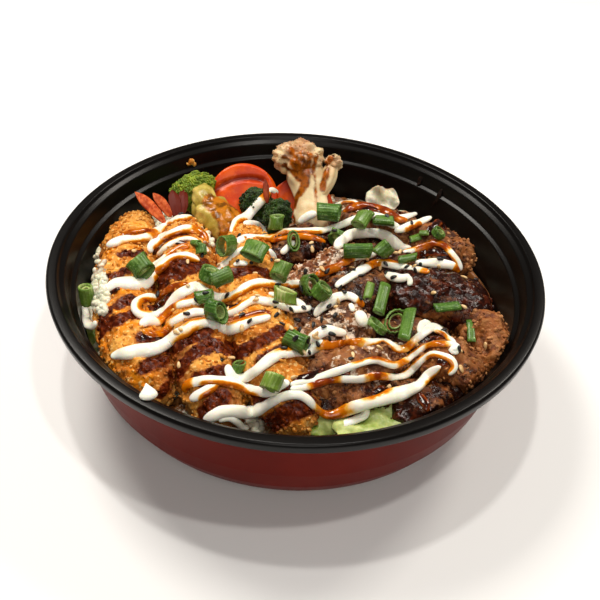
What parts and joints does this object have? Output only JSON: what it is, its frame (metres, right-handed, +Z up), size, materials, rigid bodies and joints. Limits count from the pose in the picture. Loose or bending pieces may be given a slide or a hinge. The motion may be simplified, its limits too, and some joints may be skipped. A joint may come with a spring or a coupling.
{
  "type": "seafood tempura rice bowl",
  "caption": "Breaded prawns and battered seafood on rice with vegetables, spring onion, sesame and ribbons of mayonnaise, in a round two-tone plastic takeaway bowl.",
  "frame": {"origin": "the middle of the bowl's foot, on the surface it stands on", "axes": "+X to the eater's right, +Y away from the eater towards the cauliflower, +Z up out of the bowl"},
  "size_m": [0.22, 0.22, 0.0719],
  "materials": {
    "bowl": "moulded plastic, near-black inside and on the lip, dark red outside",
    "rice": "cooked white rice, slightly glossy grains, stained brown by sauce in places",
    "crumb": "golden fried breadcrumb coating with brown sauce and cream-white mayonnaise",
    "batter": "dark brown fried batter glazed with sauce, with cream-white mayonnaise",
    "broccoli": "cooked broccoli, green florets and a paler glazed stalk",
    "cauliflower": "cooked cauliflower, cream florets and stalk with brown sauce",
    "carrot": "cooked orange-red carrot slice, moist",
    "cabbage": "pale translucent cooked cabbage",
    "lettuce": "thin pale green leaf, moist",
    "onion": "raw cut spring onion, glossy green skin and pale core"
  },
  "bodies": {
    "root": {"bowl": "bowl", "rice": "rice", "prawn_1": "crumb", "prawn_2": "crumb", "prawn_3": "crumb", "fried_1": "batter", "fried_2": "batter", "fried_3": "batter", "fried_4": "batter", "fried_5": "batter", "fried_6": "batter", "fried_7": "batter", "fried_8": "batter", "fried_9": "batter", "fried_10": "batter", "fried_11": "batter", "fried_12": "batter", "fried_13": "batter", "fried_14": "batter", "cauliflower": "cauliflower", "broccoli_small_1": "broccoli", "broccoli_small_2": "broccoli", "broccoli_large": "broccoli", "carrot_1": "carrot", "carrot_2": "carrot", "cabbage_1": "cabbage", "cabbage_2": "cabbage", "lettuce_1": "lettuce", "lettuce_2": "lettuce", "lettuce_3": "lettuce", "spring_onion_1": "onion", "spring_onion_2": "onion", "spring_onion_3": "onion", "spring_onion_4": "onion", "spring_onion_5": "onion", "spring_onion_6": "onion", "spring_onion_7": "onion", "spring_onion_8": "onion", "spring_onion_9": "onion", "spring_onion_10": "onion", "spring_onion_11": "onion", "spring_onion_12": "onion", "spring_onion_13": "onion", "spring_onion_14": "onion", "spring_onion_15": "onion", "spring_onion_16": "onion", "spring_onion_17": "onion", "spring_onion_18": "onion", "spring_onion_19": "onion", "spring_onion_20": "onion", "spring_onion_21": "onion", "spring_onion_22": "onion", "spring_onion_23": "onion", "spring_onion_24": "onion", "spring_onion_25": "onion", "spring_onion_26": "onion", "spring_onion_27": "onion", "spring_onion_28": "onion", "spring_onion_29": "onion"}
  },
  "joints": []
}
